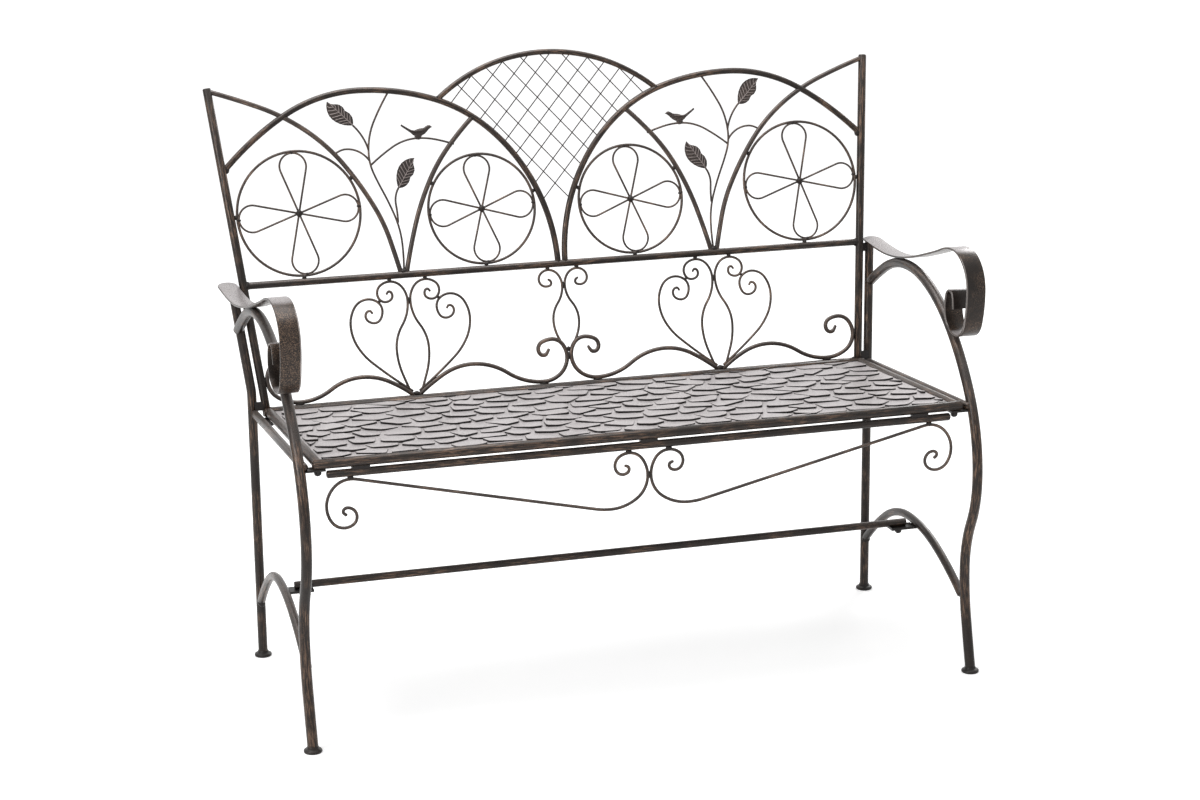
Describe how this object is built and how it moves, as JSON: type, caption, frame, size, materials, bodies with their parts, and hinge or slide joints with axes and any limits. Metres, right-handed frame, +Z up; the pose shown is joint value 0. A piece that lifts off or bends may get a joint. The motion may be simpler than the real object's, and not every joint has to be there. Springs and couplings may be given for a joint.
{
  "type": "garden bench",
  "caption": "Free-standing metal garden bench with tubular side frames, strap armrests, a sheet seat and an openwork back of arches, flower rings, lattice and scrolls",
  "frame": {"origin": "on the floor under the middle of the bench", "axes": "+X to the viewer's right, -Y to the front, +Z up"},
  "size_m": [1.1314, 0.581, 0.9472],
  "materials": {
    "frame_paint": "dark brown paint, dry-brushed bronze",
    "seat_sheet": "dark paint rubbed with silvery bronze",
    "glides": "dark brown paint"
  },
  "bodies": {
    "root": {"apron_rail": "frame_paint", "apron_spacers": "frame_paint", "back_spacers": "frame_paint", "bottom_rail": "frame_paint", "centre_arch": "frame_paint", "centre_scrolls": "frame_paint", "feet": "glides", "lattice": "frame_paint", "left_apron_scroll": "frame_paint", "left_armrest": "frame_paint", "left_back_arch": "frame_paint", "left_back_upright": "frame_paint", "left_bird": "frame_paint", "left_ear_arch": "frame_paint", "left_front_leg": "frame_paint", "left_heart_inner_scrolls": "frame_paint", "left_heart_outer_scrolls": "frame_paint", "left_inner_arch": "frame_paint", "left_inner_medallion": "frame_paint", "left_inner_wave": "frame_paint", "left_leaves": "frame_paint", "left_leg_brace": "frame_paint", "left_outer_medallion": "frame_paint", "left_outer_wave": "frame_paint", "left_rear_leg": "frame_paint", "left_seat_bearer": "frame_paint", "left_seat_end_rail": "frame_paint", "left_vine": "frame_paint", "mid_rail": "frame_paint", "right_apron_scroll": "frame_paint", "right_armrest": "frame_paint", "right_back_arch": "frame_paint", "right_back_upright": "frame_paint", "right_bird": "frame_paint", "right_ear_arch": "frame_paint", "right_front_leg": "frame_paint", "right_heart_inner_scrolls": "frame_paint", "right_heart_outer_scrolls": "frame_paint", "right_inner_arch": "frame_paint", "right_inner_medallion": "frame_paint", "right_inner_wave": "frame_paint", "right_leaves": "frame_paint", "right_leg_brace": "frame_paint", "right_outer_medallion": "frame_paint", "right_outer_wave": "frame_paint", "right_rear_leg": "frame_paint", "right_seat_bearer": "frame_paint", "right_seat_end_rail": "frame_paint", "right_vine": "frame_paint", "seat_cross_bars": "frame_paint", "seat_front_rail": "frame_paint", "seat_lugs": "frame_paint", "seat_panel": "seat_sheet", "seat_rear_rail": "frame_paint", "stretcher": "frame_paint", "stretcher_tabs": "frame_paint"}
  },
  "joints": []
}
